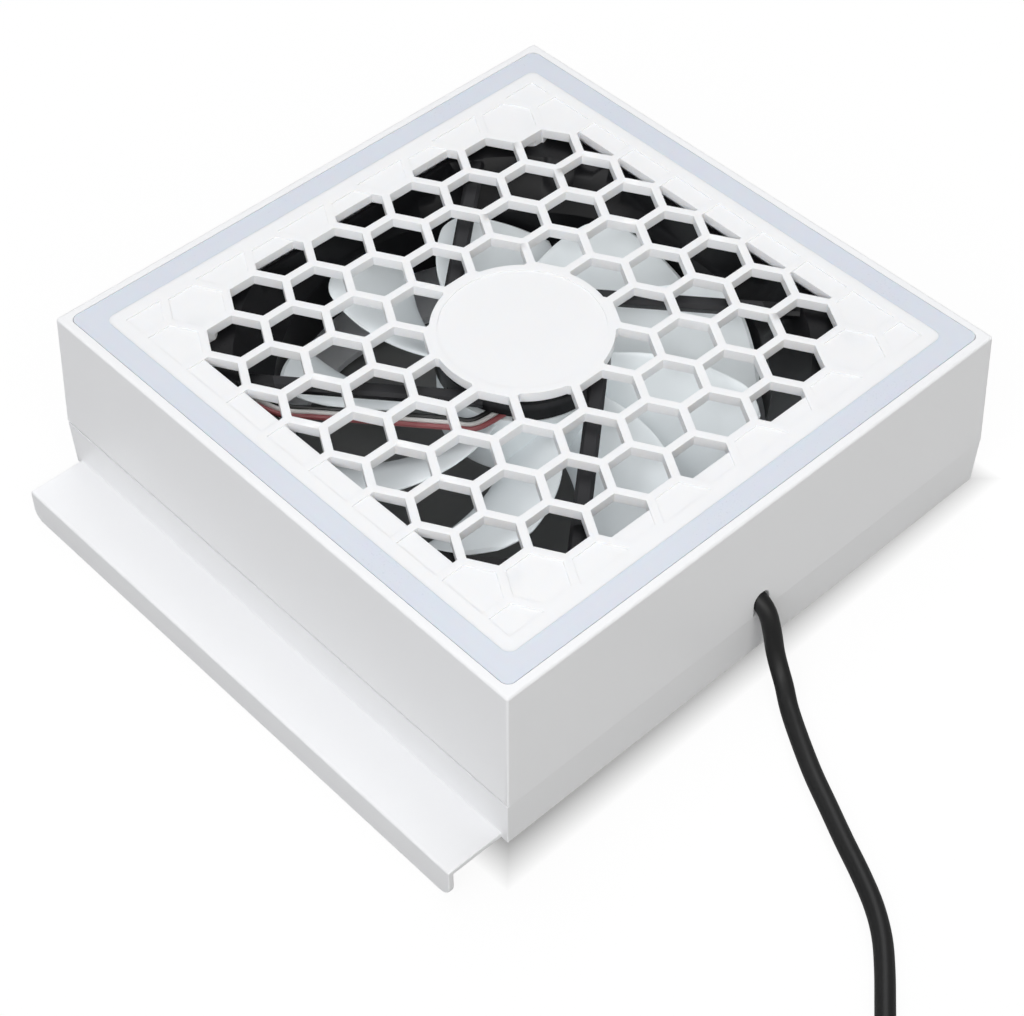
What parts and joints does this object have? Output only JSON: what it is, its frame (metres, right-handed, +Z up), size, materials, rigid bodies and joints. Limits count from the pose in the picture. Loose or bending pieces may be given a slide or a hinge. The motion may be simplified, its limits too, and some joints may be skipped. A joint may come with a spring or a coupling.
{
  "type": "console cooling fan",
  "caption": "Square white console-top cooling fan: hexagon vent with bare centre disc over a black-framed fan, milky light ring, hook ledge with lip and a black power cord.",
  "frame": {"origin": "middle of the lowest level of the casing and hook, at the lip's lower edge", "axes": "+Z up through the vent, -Y towards the hook's lip, +X towards the side that the cord leaves by"},
  "size_m": [0.3838, 0.1688, 0.0547],
  "materials": {
    "casing_white": "cool white moulded plastic, semi-gloss",
    "milky_guide": "milky diffusing plastic",
    "milky_blade": "milky translucent plastic",
    "fan_black": "black moulded plastic",
    "strip_white": "white flexible circuit",
    "chip_yellow": "phosphor",
    "dark_steel": "dark plated steel",
    "core_steel": "plain steel",
    "bronze": "sintered bronze",
    "copper": "enamelled copper",
    "ferrite": "ferrite",
    "board_green": "solder mask",
    "chip_black": "moulded chip",
    "wire_red": "wire insulation",
    "wire_white": "wire insulation",
    "wire_black": "wire insulation",
    "cord_black": "satin cord jacket",
    "tie_black": "soft tie",
    "plug_steel": "nickel plated"
  },
  "bodies": {
    "casing": {"upper_shell": "casing_white", "grille_panel": "casing_white", "base_tray": "casing_white", "cord_clamp": "casing_white", "light_guide": "milky_guide", "led_strips": "strip_white", "led_chips": "chip_yellow", "case_screws": "dark_steel", "fan_screws": "dark_steel", "clamp_screws": "dark_steel", "fan_frame": "fan_black", "sleeve_bearing": "bronze", "stator_core": "core_steel", "stator_coils": "copper", "fan_board": "board_green", "control_board": "board_green", "fan_board_chips": "chip_black", "board_parts": "chip_black", "fan_lead_red": "wire_red", "fan_lead_white": "wire_white", "fan_lead_black": "wire_black", "led_leads": "wire_white", "cord_cores": "wire_red", "power_cord": "cord_black", "cord_coil": "cord_black", "cord_tail": "cord_black", "cord_tie": "tie_black", "plug_grip": "cord_black", "plug_shell": "plug_steel", "plug_tongue": "wire_white"},
    "rotor": {"rotor": "milky_blade", "rotor_yoke": "core_steel", "rotor_magnet": "ferrite", "rotor_shaft": "core_steel", "shaft_clip": "core_steel"}
  },
  "joints": [
    {"name": "rotor_spin", "type": "hinge", "parent": "casing", "child": "rotor", "pos_m": [0, 0.0073, 0.035], "axis": [0, 0, 1], "continuous": true}
  ]
}
